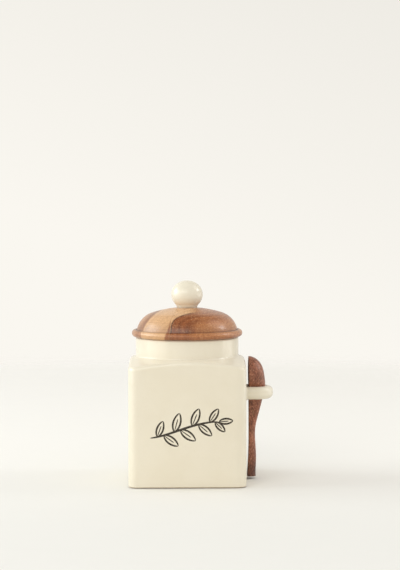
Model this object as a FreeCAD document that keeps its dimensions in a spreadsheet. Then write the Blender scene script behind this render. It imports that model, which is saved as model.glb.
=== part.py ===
"""A square salt jar with a turned wooden lid, a ball knob and a spoon that hangs in a side loop.

The jar stands on the XY plane with its round neck on the Z axis. The front face looks along -Y and
the spoon loop is on the +X side. Lengths are millimetres and angles are degrees.
"""

import FreeCAD, Part
import math
import os

import Sketcher
from FreeCAD import Vector

# The driving dimensions: alias, value, meaning.
SIZES = (
    # Glazed jar: square body, sloping shoulder, round neck
    ("body_width", 88, "outer side of the square body"),
    ("body_corner_radius", 7, "vertical corners of the body"),
    ("body_wall", 5, "wall of the body and the shoulder"),
    ("body_floor", 6, "floor of the body"),
    ("base_edge_radius", 0.8, "rounded bottom edge"),
    ("foot_inset", 2.5, "side of the body to the outside of the foot rim"),
    ("foot_height", 0.5, "foot rim below the bottom edge"),
    ("foot_width", 5.5, "width of the foot rim"),
    ("foot_recess", 1, "depth of the hollow inside the foot rim"),
    ("cavity_corner_radius", 4, "vertical corners inside the body"),
    ("cavity_floor_radius", 3.5, "rounded edge of the floor inside"),
    ("shoulder_height", 94.5, "height where the shoulder meets the neck"),
    ("shoulder_angle", 15, "fall of the shoulder away from the neck"),
    ("shoulder_edge_radius", 3, "rounded edge between shoulder and sides"),
    ("neck_inset", 4.6, "side of the body to the outside of the neck"),
    ("neck_wall", 4.7, "wall of the neck"),
    ("neck_height", 14.7, "neck above the shoulder"),
    ("neck_root_radius", 1.2, "hollow corner at the foot of the neck"),
    ("rim_edge_radius", 1.4, "rounded edges of the rim"),
    # Spoon loop, luted to the right side of the jar
    ("loop_centre_height", 66.4, "middle of the loop above the base"),
    ("loop_tall", 9.6, "height of the strap"),
    ("loop_thickness", 5.8, "thickness of the strap"),
    ("loop_edge_radius", 1.9, "rounding of the strap's inner edges"),
    ("loop_root_flare", 1.5, "how far the roots spread on the jar"),
    ("loop_root_length", 2, "length over which the roots spread"),
    ("loop_root_inset", 0.2, "how far the roots start inside the strap"),
    # Spoon, hung in the loop with its hollow towards the jar
    ("spoon_gap", 3, "jar side to the flat side of the spoon"),
    ("spoon_clearance", 0.3, "spoon to loop at the throat"),
    ("bowl_reach", 24.5, "tip of the bowl to the throat"),
    ("bowl_width", 25, "widest part of the bowl"),
    ("bowl_depth", 12.9, "deepest part of the bowl's back"),
    ("bowl_wall", 2.4, "wood left round the hollow of the bowl"),
    ("throat_width", 15.2, "spoon's width where it sits in the loop"),
    ("throat_depth", 12.7, "spoon's depth where it sits in the loop"),
    ("stem_reach", 28.6, "throat to the slim handle"),
    ("handle_reach", 38.6, "slim handle to its end"),
    ("handle_width", 8.6, "width of the slim handle"),
    ("handle_depth", 5.5, "depth of the slim handle"),
    ("handle_end_width", 10.4, "width at the end of the handle"),
    ("handle_end_flare", 1.3, "spread of the handle's end towards the jar"),
    ("spoon_rim_round", 0.8, "rounding of the edges beside the flat side"),
    # Turned lid
    ("bead_overhang", 3, "lid's bead past the outside of the neck"),
    ("bead_height", 5.5, "height of the half-round bead"),
    ("quirk_depth", 0.5, "fall from the top of the bead to the dome"),
    ("bead_width", 3.75, "outside of the bead to the foot of the dome"),
    ("dome_rise", 16.45, "top of the bead to the knob's seat"),
    ("crown_radius", 90, "arc over the middle of the dome"),
    ("crown_angle", 17.4, "where the crown arc turns into the haunch"),
    ("seat_margin", 0.3, "flat of the knob's seat outside its collar"),
    ("plug_clearance", 1.3, "plug to neck bore"),
    ("plug_depth", 9.6, "plug below the rim"),
    ("plug_chamfer", 0.8, "bevel at the plug's lower edge"),
    ("stave_angle", 12, "turn of the glue lines from the front"),
    ("seam_offset", 5.2, "lid's axis to the glue line left of it"),
    ("left_stave_width", 13.4, "left side of the bead to the other glue line"),
    # Seal ring in the plug's groove
    ("groove_top", 2.4, "rim plane down to the seal groove"),
    ("groove_height", 4.2, "height of the seal groove"),
    ("groove_depth", 2.2, "depth of the seal groove"),
    ("seal_clearance", 0.08, "seal to its groove"),
    ("seal_play", 0.15, "seal lips to the neck bore"),
    ("seal_lip_thickness", 0.9, "lip at its root"),
    ("seal_lip_tip", 0.35, "lip at its tip"),
    # Ball knob and its fixing
    ("knob_radius", 12.15, "knob's axis to the side of its ball"),
    ("knob_side_radius", 10.2, "rounding of the ball's side"),
    ("knob_crown_angle", 53, "where the side turns into the crown, above the equator"),
    ("knob_join_angle", 48.6, "where the ball ends, below its equator"),
    ("collar_radius", 7.7, "foot of the knob"),
    ("collar_height", 0.4, "foot of the knob"),
    ("collar_taper_rise", 2, "top of the foot to the end of the ball"),
    ("insert_radius", 3.2, "threaded insert in the knob"),
    ("insert_length", 11, "threaded insert in the knob"),
    ("insert_clearance", 0.1, "insert to its hole in the knob"),
    ("insert_ring_depth", 0.35, "glue rings turned into the insert"),
    ("insert_ring_width", 1.1, "glue rings turned into the insert"),
    ("screw_radius", 2, "shank of the knob screw"),
    ("screw_engagement", 8.5, "screw inside the insert"),
    ("screw_clearance", 0.25, "shank to its hole in the lid"),
    ("thread_clearance", 0.05, "shank to the insert's bore"),
    ("screw_tip_bevel", 0.5, "bevel at the screw's tip"),
    ("head_radius", 3.9, "pan head of the screw"),
    ("head_height", 2.5, "pan head of the screw"),
    ("head_round", 1.4, "rounding of the pan head"),
    ("recess_width", 1.1, "slots of the cross recess"),
    ("recess_length", 4.4, "slots of the cross recess"),
    ("recess_depth", 1.5, "depth of the cross recess"),
    ("washer_radius", 5, "washer under the screw's head"),
    ("washer_hole_clearance", 0.2, "washer to the shank"),
    ("washer_thickness", 1, "washer under the screw's head"),
    ("pocket_margin", 0.6, "pocket in the plug round the washer"),
    ("pocket_cover", 0.6, "screw's head up from the plug's face"),
    # Cutting shapes run past what they cut
    ("overrun", 2, "how far a cutter passes the solid"),
)

# Spoon sections from the tip to the throat: place along the reach, width and depth as shares of the bowl.
BOWL_SHARES = (
    (0.012, 0.20, 0.14),
    (0.07, 0.47, 0.41),
    (0.20, 0.77, 0.685),
    (0.37, 0.96, 0.855),
    (0.53, 1.00, 0.925),
    (0.70, 0.93, 0.975),
    (0.86, 0.765, 0.998),
)
# Sections from the throat to the slim handle: place along the stem, and what is left of the throat's
# extra width and depth there.
STEM_SHARES = (
    (0.00, 1.00, 1.00),
    (0.22, 0.62, 0.80),
    (0.48, 0.27, 0.53),
    (0.75, 0.06, 0.24),
    (1.00, 0.00, 0.00),
)
# Sections from the slim handle to its end: place along the handle, and how far it has flared there.
HANDLE_SHARES = ((0.45, 0.12), (0.80, 0.62), (1.00, 1.00))
# Roundness of the spoon's back, as a share of the largest radius that fits the section.
BACK_ROUND_SHARE = 0.94
# Length and depth of the bowl's hollow as shares of the room inside its wall.
HOLLOW_LENGTH_SHARE = 0.98
HOLLOW_DEPTH_SHARE = 0.95
# Rounding of the strap's outer edges, as shares of the thickness beside the inner rounding and of the height.
OUTER_ROUND_SHARE = 0.97
OUTER_ROUND_HEIGHT_SHARE = 0.45
# Glue rings along the insert, as shares of its length.
INSERT_RING_SHARES = (0.22, 0.5, 0.78)

TOLERANCE = 1e-4
QUARTER_TURN = 90
OUT = "parts"

doc = FreeCAD.newDocument("SaltJar")
sheet = doc.addObject("Spreadsheet::Sheet", "Sizes")
for row, (alias, number, meaning) in enumerate(SIZES, start=1):
    sheet.set(f"A{row}", meaning)
    sheet.set(f"B{row}", str(number))
    sheet.setAlias(f"B{row}", alias)
doc.recompute()


def size(alias):
    """A driving dimension as it stands in an expression."""
    return f"Sizes.{alias}"


def evaluate(expression):
    """The number that an expression has now, for a sketch's first guess."""
    return float(sheet.evalExpression(expression))


# Places and sizes that several pieces share, as expressions of the sheet
HALF_BODY = "(Sizes.body_width / 2)"
HALF_CAVITY = "(Sizes.body_width / 2 - Sizes.body_wall)"
RIM_HEIGHT = "(Sizes.shoulder_height + Sizes.neck_height)"
NECK_RADIUS = f"({HALF_BODY} - Sizes.neck_inset)"
NECK_BORE = f"({NECK_RADIUS} - Sizes.neck_wall)"
PLUG_RADIUS = f"({NECK_BORE} - Sizes.plug_clearance)"
GROOVE_FLOOR = f"({PLUG_RADIUS} - Sizes.groove_depth)"
BEAD_RADIUS = f"({NECK_RADIUS} + Sizes.bead_overhang)"
DOME_RADIUS = f"({BEAD_RADIUS} - Sizes.bead_width)"
SEAT_RISE = "(Sizes.bead_height + Sizes.dome_rise)"
SEAT_RADIUS = "(Sizes.collar_radius + Sizes.seat_margin)"
SCREW_HOLE = "(Sizes.screw_radius + Sizes.screw_clearance)"
POCKET_RADIUS = "(Sizes.washer_radius + Sizes.pocket_margin)"
POCKET_DEPTH = "(Sizes.pocket_cover + Sizes.head_height + Sizes.washer_thickness)"
POCKET_ROOF = f"({POCKET_DEPTH} - Sizes.plug_depth)"
LOOP_BOTTOM = "(Sizes.loop_centre_height - Sizes.loop_tall / 2)"
LOOP_OPENING = "(Sizes.throat_width / 2 + Sizes.spoon_clearance)"
LOOP_END = f"({HALF_BODY} + Sizes.spoon_gap + Sizes.throat_depth + Sizes.spoon_clearance)"
LOOP_ROUND_ROOM = f"{OUTER_ROUND_SHARE} * (Sizes.loop_thickness - Sizes.loop_edge_radius)"
LOOP_OUTER_ROUND = f"min({LOOP_ROUND_ROOM}; {OUTER_ROUND_HEIGHT_SHARE} * Sizes.loop_tall)"
SPOON_FACE = f"({HALF_BODY} + Sizes.spoon_gap)"
THROAT_HEIGHT = f"({LOOP_BOTTOM} + Sizes.loop_tall - Sizes.loop_edge_radius)"


def new_body(label):
    """An empty body whose label names its piece."""
    body = doc.addObject("PartDesign::Body", label)
    body.Label = label
    return body


def lift(thing, expression, axis="z"):
    """Move a body or primitive along one axis by an expression."""
    thing.setExpression(f"Placement.Base.{axis}", expression)


def new_sketch(body, name, role, offset=None):
    """A sketch on one of the body's origin planes, moved along its normal by an expression."""
    sketch = body.newObject("Sketcher::SketchObject", name)
    plane = next(f for f in body.Origin.OriginFeatures if f.Role == role)
    sketch.AttachmentSupport = [(plane, "")]
    sketch.MapMode = "FlatFace"
    if offset:
        sketch.setExpression("AttachmentOffset.Base.z", offset)
    return sketch


def constrain(sketch, expression, kind, *targets):
    """Add a constraint whose value follows an expression."""
    index = sketch.addConstraint(Sketcher.Constraint(kind, *targets, evaluate(expression)))
    sketch.setExpression(f"Constraints[{index}]", expression)


def pin(sketch, side, position, x, y):
    """Hold one end of a side at two coordinates; "0" puts it on the axis."""
    for kind, expression, axis in (("DistanceX", x, -2), ("DistanceY", y, -1)):
        if expression == "0":
            sketch.addConstraint(Sketcher.Constraint("PointOnObject", side, position, axis))
        else:
            constrain(sketch, expression, kind, -1, 1, side, position)


def arc_between(start, end, radius, hollow):
    """The short arc from start to end, anticlockwise, or clockwise where the outline is hollow."""
    first, last = (end, start) if hollow else (start, end)
    chord = last - first
    across = Vector(-chord.y, chord.x, 0).normalize()
    centre = (first + last) / 2 + across * math.sqrt(max(radius**2 - (chord.Length / 2) ** 2, 0))
    angles = [math.atan2(p.y - centre.y, p.x - centre.x) for p in (first, last)]
    return Part.ArcOfCircle(Part.Circle(centre, Vector(0, 0, 1), radius), *angles)


def outline(sketch, *corners):
    """A closed anticlockwise outline. A corner is (x, y), and (x, y, radius) starts an arc.

    All three are expressions. A radius that starts with "-" makes the arc hollow.
    """
    points = [Vector(evaluate(c[0]), evaluate(c[1]), 0) for c in corners]
    sides = []
    for start, end, corner in zip(points, points[1:] + points[:1], corners):
        bend = corner[2] if len(corner) > 2 else None
        if bend is None:
            sides.append((sketch.addGeometry(Part.LineSegment(start, end)), 1, 2))
            continue
        hollow = bend.startswith("-")
        radius = bend.lstrip("-")
        side = sketch.addGeometry(arc_between(start, end, evaluate(radius), hollow))
        sides.append((side, 2, 1) if hollow else (side, 1, 2))
        constrain(sketch, radius, "Radius", side)
    for (side, _, last), (following, first, _) in zip(sides, sides[1:] + sides[:1]):
        sketch.addConstraint(Sketcher.Constraint("Coincident", side, last, following, first))
    for (side, first, _), corner in zip(sides, corners):
        pin(sketch, side, first, corner[0], corner[1])


def rounded_box(sketch, low, high, low_radius, high_radius):
    """A rectangle between two corners, rounded by one radius at its low X side and one at its high X side."""
    (x0, y0), (x1, y1) = low, high
    outline(
        sketch,
        (f"{x0} + {low_radius}", y0),
        (f"{x1} - {high_radius}", y0, high_radius),
        (x1, f"{y0} + {high_radius}"),
        (x1, f"{y1} - {high_radius}", high_radius),
        (f"{x1} - {high_radius}", y1),
        (f"{x0} + {low_radius}", y1, low_radius),
        (x0, f"{y1} - {low_radius}"),
        (x0, f"{y0} + {low_radius}", low_radius),
    )


def square(sketch, half, radius):
    """A rounded square about the origin."""
    rounded_box(sketch, (f"-{half}", f"-{half}"), (half, half), radius, radius)


def circle(sketch, radius):
    """A circle about the origin."""
    side = sketch.addGeometry(Part.Circle(Vector(), Vector(0, 0, 1), evaluate(radius)))
    sketch.addConstraint(Sketcher.Constraint("Coincident", side, 3, -1, 1))
    constrain(sketch, radius, "Radius", side)


def pad(body, sketch, length):
    """Pad a sketch by an expression."""
    feature = body.newObject("PartDesign::Pad", f"{sketch.Name}_pad")
    feature.Profile = sketch
    feature.setExpression("Length", length)
    doc.recompute()
    return feature


def pocket(body, sketch, depth, upward):
    """Pocket a sketch by an expression, against its normal or along it, and see that it cut."""
    before = body.Shape.Volume
    feature = body.newObject("PartDesign::Pocket", f"{sketch.Name}_pocket")
    feature.Profile = sketch
    feature.Reversed = upward
    feature.setExpression("Length", depth)
    doc.recompute()
    if feature.Shape.Volume >= before:
        raise RuntimeError(f"{feature.Name} cut nothing")
    return feature


def turn(body, sketch, kind="PartDesign::Revolution"):
    """Turn a sketch of the XZ plane round the Z axis, as a solid or as a groove."""
    feature = body.newObject(kind, f"{sketch.Name}_turned")
    feature.Profile = sketch
    feature.ReferenceAxis = (sketch, ["V_Axis"])
    doc.recompute()
    return feature


def round_edges(body, base, name, radius, wanted):
    """Fillet those edges of a feature that a test picks."""
    names = [f"Edge{i}" for i, edge in enumerate(base.Shape.Edges, start=1) if wanted(edge)]
    feature = body.newObject("PartDesign::Fillet", name)
    feature.Base = (base, names)
    feature.setExpression("Radius", radius)
    doc.recompute()
    return feature


def ring_at(radius, height):
    """A test for the round edge of that radius at that height."""
    r, z = evaluate(radius), evaluate(height)

    def wanted(edge):
        box = edge.BoundBox
        level = abs(box.ZMin - z) < TOLERANCE and abs(box.ZMax - z) < TOLERANCE
        return level and isinstance(edge.Curve, Part.Circle) and abs(edge.Curve.Radius - r) < TOLERANCE

    return wanted


def shoulder_line(sketch, start_radius, start_height, top):
    """The space above a shoulder that falls away from a circle, out past the body's corners."""
    reach = size("body_width")
    fall = f"({reach} - {start_radius}) * tan(Sizes.shoulder_angle)"
    outline(
        sketch,
        (start_radius, start_height),
        (reach, f"{start_height} - {fall}"),
        (reach, top),
        (start_radius, top),
    )


def make_cavity():
    """The inside of the jar, as a solid to take out of it."""
    body = new_body("cavity")
    floor = new_sketch(body, "cavity_floor", "XY_Plane", size("body_floor"))
    square(floor, HALF_CAVITY, size("cavity_corner_radius"))
    pad(body, floor, f"{size('shoulder_height')} - {size('body_floor')}")

    above = new_sketch(body, "cavity_shoulder", "XZ_Plane")
    drop = "Sizes.body_wall / cos(Sizes.shoulder_angle)"
    rise = "Sizes.neck_wall * tan(Sizes.shoulder_angle)"
    shoulder_line(
        above,
        NECK_BORE,
        f"{size('shoulder_height')} - {drop} + {rise}",
        f"{size('shoulder_height')} + {size('overrun')}",
    )
    shouldered = turn(body, above, "PartDesign::Groove")
    bottom = evaluate(size("body_floor"))
    round_edges(
        body, shouldered, "cavity_round", size("cavity_floor_radius"),
        lambda e: abs(e.BoundBox.ZMax - bottom) < TOLERANCE,
    )
    mouth = new_sketch(body, "cavity_mouth", "XY_Plane", size("shoulder_height") + " / 2")
    circle(mouth, NECK_BORE)
    pad(body, mouth, f"{RIM_HEIGHT} - {size('shoulder_height')} / 2 + {size('overrun')}")
    return body


def make_jar():
    """The glazed jar: body, shoulder and neck in one fired piece."""
    cavity = make_cavity()
    body = new_body("jar_body")
    foot = new_sketch(body, "foot", "XY_Plane")
    square(foot, f"({HALF_BODY} - Sizes.foot_inset)", "(Sizes.body_corner_radius - Sizes.foot_inset)")
    pad(body, foot, size("foot_height"))
    footprint = new_sketch(body, "footprint", "XY_Plane", size("foot_height"))
    square(footprint, HALF_BODY, size("body_corner_radius"))
    pad(body, footprint, "Sizes.shoulder_height - Sizes.foot_height")

    above = new_sketch(body, "shoulder", "XZ_Plane")
    top = f"{size('shoulder_height')} + {size('overrun')}"
    shoulder_line(above, NECK_RADIUS, size("shoulder_height"), top)
    shouldered = turn(body, above, "PartDesign::Groove")

    neck = evaluate(NECK_RADIUS)
    middle = evaluate(size("shoulder_height")) / 2
    side = evaluate(HALF_BODY)
    underside = evaluate(size("foot_height"))

    def on_base_edge(edge):
        box = edge.BoundBox
        reach = max(box.XMax, -box.XMin, box.YMax, -box.YMin)
        return abs(box.ZMax - underside) < TOLERANCE and reach > side - TOLERANCE

    def on_shoulder_edge(edge):
        box = edge.BoundBox
        return box.ZMin > middle and box.XLength < 2 * neck - TOLERANCE

    softened = round_edges(body, shouldered, "shoulder_round", size("shoulder_edge_radius"), on_shoulder_edge)
    round_edges(body, softened, "base_round", size("base_edge_radius"), on_base_edge)
    ring = new_sketch(body, "neck", "XY_Plane", size("shoulder_height") + " / 2")
    circle(ring, NECK_RADIUS)
    necked = pad(body, ring, f"{RIM_HEIGHT} - {size('shoulder_height')} / 2")
    rooted = round_edges(
        body, necked, "neck_root", size("neck_root_radius"),
        ring_at(NECK_RADIUS, size("shoulder_height")),
    )
    round_edges(
        body, rooted, "rim_outer_round", size("rim_edge_radius"),
        ring_at(NECK_RADIUS, RIM_HEIGHT),
    )

    hollow = new_sketch(body, "foot_hollow", "XY_Plane")
    square(hollow, f"({HALF_BODY} - Sizes.foot_inset - Sizes.foot_width)", size("cavity_corner_radius"))
    pocket(body, hollow, size("foot_recess"), upward=True)

    hollowed = body.newObject("PartDesign::Boolean", "hollowed")
    hollowed.setObjects([cavity])
    hollowed.Type = "Cut"
    doc.recompute()
    round_edges(body, hollowed, "rim_inner_round", size("rim_edge_radius"), ring_at(NECK_BORE, RIM_HEIGHT))
    return body


def make_loop():
    """The strap loop on the jar's right side, with roots that spread where it was luted on."""
    body = new_body("spoon_loop")
    plan = new_sketch(body, "strap_plan", "XY_Plane", LOOP_BOTTOM)
    inner = LOOP_OPENING
    outer = f"({LOOP_OPENING} + Sizes.loop_thickness)"
    bend = f"({LOOP_END} - {LOOP_OPENING})"
    tip = f"({LOOP_END} + Sizes.loop_thickness)"
    outline(
        plan,
        (HALF_BODY, f"-{outer}"),
        (bend, f"-{outer}", outer),
        (tip, "0", outer),
        (bend, outer),
        (HALF_BODY, outer),
        (HALF_BODY, inner),
        (bend, inner, f"-{inner}"),
        (LOOP_END, "0", f"-{inner}"),
        (bend, f"-{inner}"),
        (HALF_BODY, f"-{inner}"),
    )
    strap = pad(body, plan, size("loop_tall"))
    face = evaluate(HALF_BODY)
    middle = (evaluate(inner) + evaluate(outer)) / 2

    def on_strap_edge(edge, outside):
        box = edge.BoundBox
        flat = box.ZLength < TOLERANCE and box.XMax > face + TOLERANCE
        return flat and outside == (max(abs(box.YMin), abs(box.YMax)) > middle)

    inner_round = size("loop_edge_radius")
    softened = round_edges(body, strap, "strap_inner_round", inner_round, lambda e: on_strap_edge(e, False))
    round_edges(body, softened, "strap_outer_round", LOOP_OUTER_ROUND, lambda e: on_strap_edge(e, True))

    for side, at_front in (("front", True), ("back", False)):
        sections = []
        for step, spread, offset in (
            ("root", "Sizes.loop_root_flare", HALF_BODY),
            ("end", "-Sizes.loop_root_inset", f"{HALF_BODY} + Sizes.loop_root_length"),
        ):
            section = new_sketch(body, f"{side}_{step}", "YZ_Plane", offset)
            near = f"({inner} - ({spread}))"
            far = f"({outer} + ({spread}))"
            z0 = f"({LOOP_BOTTOM} - ({spread}))"
            z1 = f"({LOOP_BOTTOM} + Sizes.loop_tall + ({spread}))"
            if at_front:
                rounded_box(section, (f"-{far}", z0), (f"-{near}", z1), LOOP_OUTER_ROUND, inner_round)
            else:
                rounded_box(section, (near, z0), (far, z1), inner_round, LOOP_OUTER_ROUND)
            sections.append(section)
        flare = body.newObject("PartDesign::AdditiveLoft", f"{side}_flare")
        flare.Profile = sections[0]
        flare.Sections = sections[1:]
        doc.recompute()
    return body


def spoon_sections():
    """Each section of the spoon from its tip to its end: height above the throat, width, front and back."""
    for place, width, depth in BOWL_SHARES:
        yield (
            f"Sizes.bowl_reach * {1 - place}",
            f"Sizes.bowl_width * {width}",
            "0",
            f"Sizes.bowl_depth * {depth}",
        )
    for place, width, depth in STEM_SHARES:
        yield (
            f"-Sizes.stem_reach * {place}",
            f"(Sizes.handle_width + (Sizes.throat_width - Sizes.handle_width) * {width})",
            "0",
            f"(Sizes.handle_depth + (Sizes.throat_depth - Sizes.handle_depth) * {depth})",
        )
    for place, flare in HANDLE_SHARES:
        yield (
            f"-Sizes.stem_reach - Sizes.handle_reach * {place}",
            f"(Sizes.handle_width + (Sizes.handle_end_width - Sizes.handle_width) * {flare})",
            f"(-Sizes.handle_end_flare * {flare})",
            "Sizes.handle_depth",
        )


def make_spoon():
    """The carved spoon: bowl up, flat side to the jar, throat level with the loop."""
    blank = new_body("spoon_blank")
    sections = []
    for number, (height, width, front, back) in enumerate(spoon_sections(), start=1):
        section = new_sketch(blank, f"spoon_section_{number}", "XY_Plane", height)
        half = f"({width} / 2)"
        rim = size("spoon_rim_round")
        bend = f"({BACK_ROUND_SHARE} * min({half}; {back} - {front} - {rim}))"
        rounded_box(section, (front, f"-{half}"), (back, half), rim, bend)
        sections.append(section)
    carved = blank.newObject("PartDesign::AdditiveLoft", "spoon_carved")
    carved.Profile = sections[0]
    carved.Sections = sections[1:]

    hollow = doc.addObject("Part::Ellipsoid", "bowl_hollow")
    room = "(Sizes.bowl_reach / 2 - Sizes.bowl_wall)"
    hollow.Placement.Rotation = FreeCAD.Rotation(Vector(0, 1, 0), QUARTER_TURN)
    hollow.setExpression("Radius1", f"(Sizes.bowl_depth - Sizes.bowl_wall) * {HOLLOW_DEPTH_SHARE}")
    hollow.setExpression("Radius2", f"{room} * {HOLLOW_LENGTH_SHARE}")
    hollow.setExpression("Radius3", "Sizes.bowl_width / 2 - Sizes.bowl_wall")

    for thing, height in ((blank, THROAT_HEIGHT), (hollow, f"{THROAT_HEIGHT} + Sizes.bowl_reach / 2")):
        lift(thing, SPOON_FACE, "x")
        lift(thing, height)
    spoon = doc.addObject("Part::Cut", "spoon")
    spoon.Base = blank
    spoon.Tool = hollow
    doc.recompute()
    return spoon


def lid_profile(sketch):
    """Half the section of the lid, with the rim plane at zero height."""
    nose = "(Sizes.bead_height / 2)"
    bead_in = f"({BEAD_RADIUS} - {nose})"
    plug_foot = "-Sizes.plug_depth"
    groove_high = "-Sizes.groove_top"
    groove_low = "(-Sizes.groove_top - Sizes.groove_height)"
    # The crown is an arc about the axis; the haunch touches it and ends at the foot of the dome.
    crown_x = "(Sizes.crown_radius * sin(Sizes.crown_angle))"
    seat_height = f"sqrt(Sizes.crown_radius ^ 2 - {SEAT_RADIUS} ^ 2)"
    crown_fall = f"({seat_height} - Sizes.crown_radius * cos(Sizes.crown_angle))"
    crown_y = f"({SEAT_RISE} - {crown_fall})"
    foot_y = "(Sizes.bead_height - Sizes.quirk_depth)"
    run = f"({DOME_RADIUS} - {crown_x})"
    rise = f"({crown_y} - {foot_y})"
    lean = f"({rise} * cos(Sizes.crown_angle) - {run} * sin(Sizes.crown_angle))"
    haunch = f"(({run} ^ 2 + {rise} ^ 2) / (2 * {lean}))"
    outline(
        sketch,
        (POCKET_RADIUS, plug_foot),
        (f"{PLUG_RADIUS} - Sizes.plug_chamfer", plug_foot),
        (PLUG_RADIUS, f"{plug_foot} + Sizes.plug_chamfer"),
        (PLUG_RADIUS, groove_low),
        (GROOVE_FLOOR, groove_low),
        (GROOVE_FLOOR, groove_high),
        (PLUG_RADIUS, groove_high),
        (PLUG_RADIUS, "0"),
        (bead_in, "0", nose),
        (BEAD_RADIUS, nose, nose),
        (bead_in, size("bead_height")),
        (DOME_RADIUS, foot_y, haunch),
        (crown_x, crown_y, size("crown_radius")),
        (SEAT_RADIUS, SEAT_RISE),
        (SCREW_HOLE, SEAT_RISE),
        (SCREW_HOLE, POCKET_ROOF),
        (POCKET_RADIUS, POCKET_ROOF),
    )


def make_lid():
    """The lid: a blank edge-glued from three staves, then turned. Each stave is a piece."""
    blank = new_body("lid_blank")
    profile = new_sketch(blank, "lid_profile", "XZ_Plane")
    lid_profile(profile)
    turn(blank, profile)
    lift(blank, RIM_HEIGHT)

    reach = f"({BEAD_RADIUS} + Sizes.overrun)"
    near_seam = "-Sizes.seam_offset"
    far_seam = f"(Sizes.left_stave_width - {BEAD_RADIUS})"
    spans = (
        ("lid_stave_left", f"-{reach}", far_seam),
        ("lid_stave_middle", far_seam, near_seam),
        ("lid_stave_right", near_seam, reach),
    )
    staves = []
    for label, start, end in spans:
        board = doc.addObject("Part::Box", f"{label}_board")
        board.setExpression("Length", f"{end} - ({start})")
        board.setExpression("Width", f"2 * {reach}")
        board.setExpression("Height", f"Sizes.plug_depth + {SEAT_RISE} + 2 * Sizes.overrun")
        board.setExpression("Placement.Rotation.Angle", "-Sizes.stave_angle")
        lift(board, f"({start}) * cos(Sizes.stave_angle) - {reach} * sin(Sizes.stave_angle)", "x")
        lift(board, f"-({start}) * sin(Sizes.stave_angle) - {reach} * cos(Sizes.stave_angle)", "y")
        lift(board, f"{RIM_HEIGHT} - Sizes.plug_depth - Sizes.overrun")
        stave = doc.addObject("Part::Common", label)
        stave.Base = blank
        stave.Tool = board
        staves.append(stave)
    doc.recompute()
    return staves


def make_seal():
    """The seal ring: a band in the plug's groove with two lips that reach the neck bore."""
    body = new_body("lid_seal")
    inner = f"({GROOVE_FLOOR} + Sizes.seal_clearance)"
    band = f"({PLUG_RADIUS} - Sizes.seal_clearance)"
    lips = f"({NECK_BORE} - Sizes.seal_play)"
    low = "(-Sizes.groove_top - Sizes.groove_height + Sizes.seal_clearance)"
    high = "(-Sizes.groove_top - Sizes.seal_clearance)"
    root = "Sizes.seal_lip_thickness"
    point = "Sizes.seal_lip_tip"
    section = new_sketch(body, "seal_section", "XZ_Plane")
    outline(
        section,
        (inner, low),
        (band, low),
        (lips, f"{low} + {root} - {point}"),
        (lips, f"{low} + {root}"),
        (band, f"{low} + {root}"),
        (band, f"{high} - {root}"),
        (lips, f"{high} - {point}"),
        (lips, high),
        (band, high),
        (inner, high),
    )
    turn(body, section)
    lift(body, RIM_HEIGHT)
    return body


def make_knob():
    """The slightly flattened ball knob on its short collar, with a blind hole for the insert."""
    body = new_body("knob")
    side = size("knob_side_radius")
    offset = f"(Sizes.knob_radius - {side})"
    ball_end = "(Sizes.collar_height + Sizes.collar_taper_rise)"
    equator = f"({ball_end} + {side} * sin(Sizes.knob_join_angle))"
    # The crown's arc has its centre on the axis and touches the side's arc.
    crown = f"({side} + {offset} / cos(Sizes.knob_crown_angle))"
    crown_centre = f"({equator} - {offset} * tan(Sizes.knob_crown_angle))"
    crown_x = f"({offset} + {side} * cos(Sizes.knob_crown_angle))"
    crown_y = f"({equator} + {side} * sin(Sizes.knob_crown_angle))"
    hole = "(Sizes.insert_radius + Sizes.insert_clearance)"
    roof = "(Sizes.insert_length + Sizes.insert_clearance)"
    profile = new_sketch(body, "knob_profile", "XZ_Plane")
    outline(
        profile,
        (hole, "0"),
        (size("collar_radius"), "0"),
        (size("collar_radius"), size("collar_height")),
        (f"{offset} + {side} * cos(Sizes.knob_join_angle)", ball_end, side),
        (size("knob_radius"), equator, side),
        (crown_x, crown_y, crown),
        ("0", f"{crown_centre} + {crown}"),
        ("0", roof),
        (hole, roof),
    )
    turn(body, profile)
    lift(body, f"{RIM_HEIGHT} + {SEAT_RISE}")
    return body


def make_insert():
    """The threaded insert that is glued into the knob, with rings that hold the glue."""
    body = new_body("knob_insert")
    bore = "(Sizes.screw_radius + Sizes.thread_clearance)"
    outside = size("insert_radius")
    floor = "(Sizes.insert_radius - Sizes.insert_ring_depth)"
    half = "Sizes.insert_ring_width / 2"
    rings = []
    for share in INSERT_RING_SHARES:
        middle = f"Sizes.insert_length * {share}"
        rings += [
            (outside, f"{middle} - {half}"),
            (floor, f"{middle} - {half}"),
            (floor, f"{middle} + {half}"),
            (outside, f"{middle} + {half}"),
        ]
    section = new_sketch(body, "insert_section", "XZ_Plane")
    top = size("insert_length")
    outline(section, (bore, "0"), (outside, "0"), *rings, (outside, top), (bore, top))
    turn(body, section)
    lift(body, f"{RIM_HEIGHT} + {SEAT_RISE}")
    return body


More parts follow.
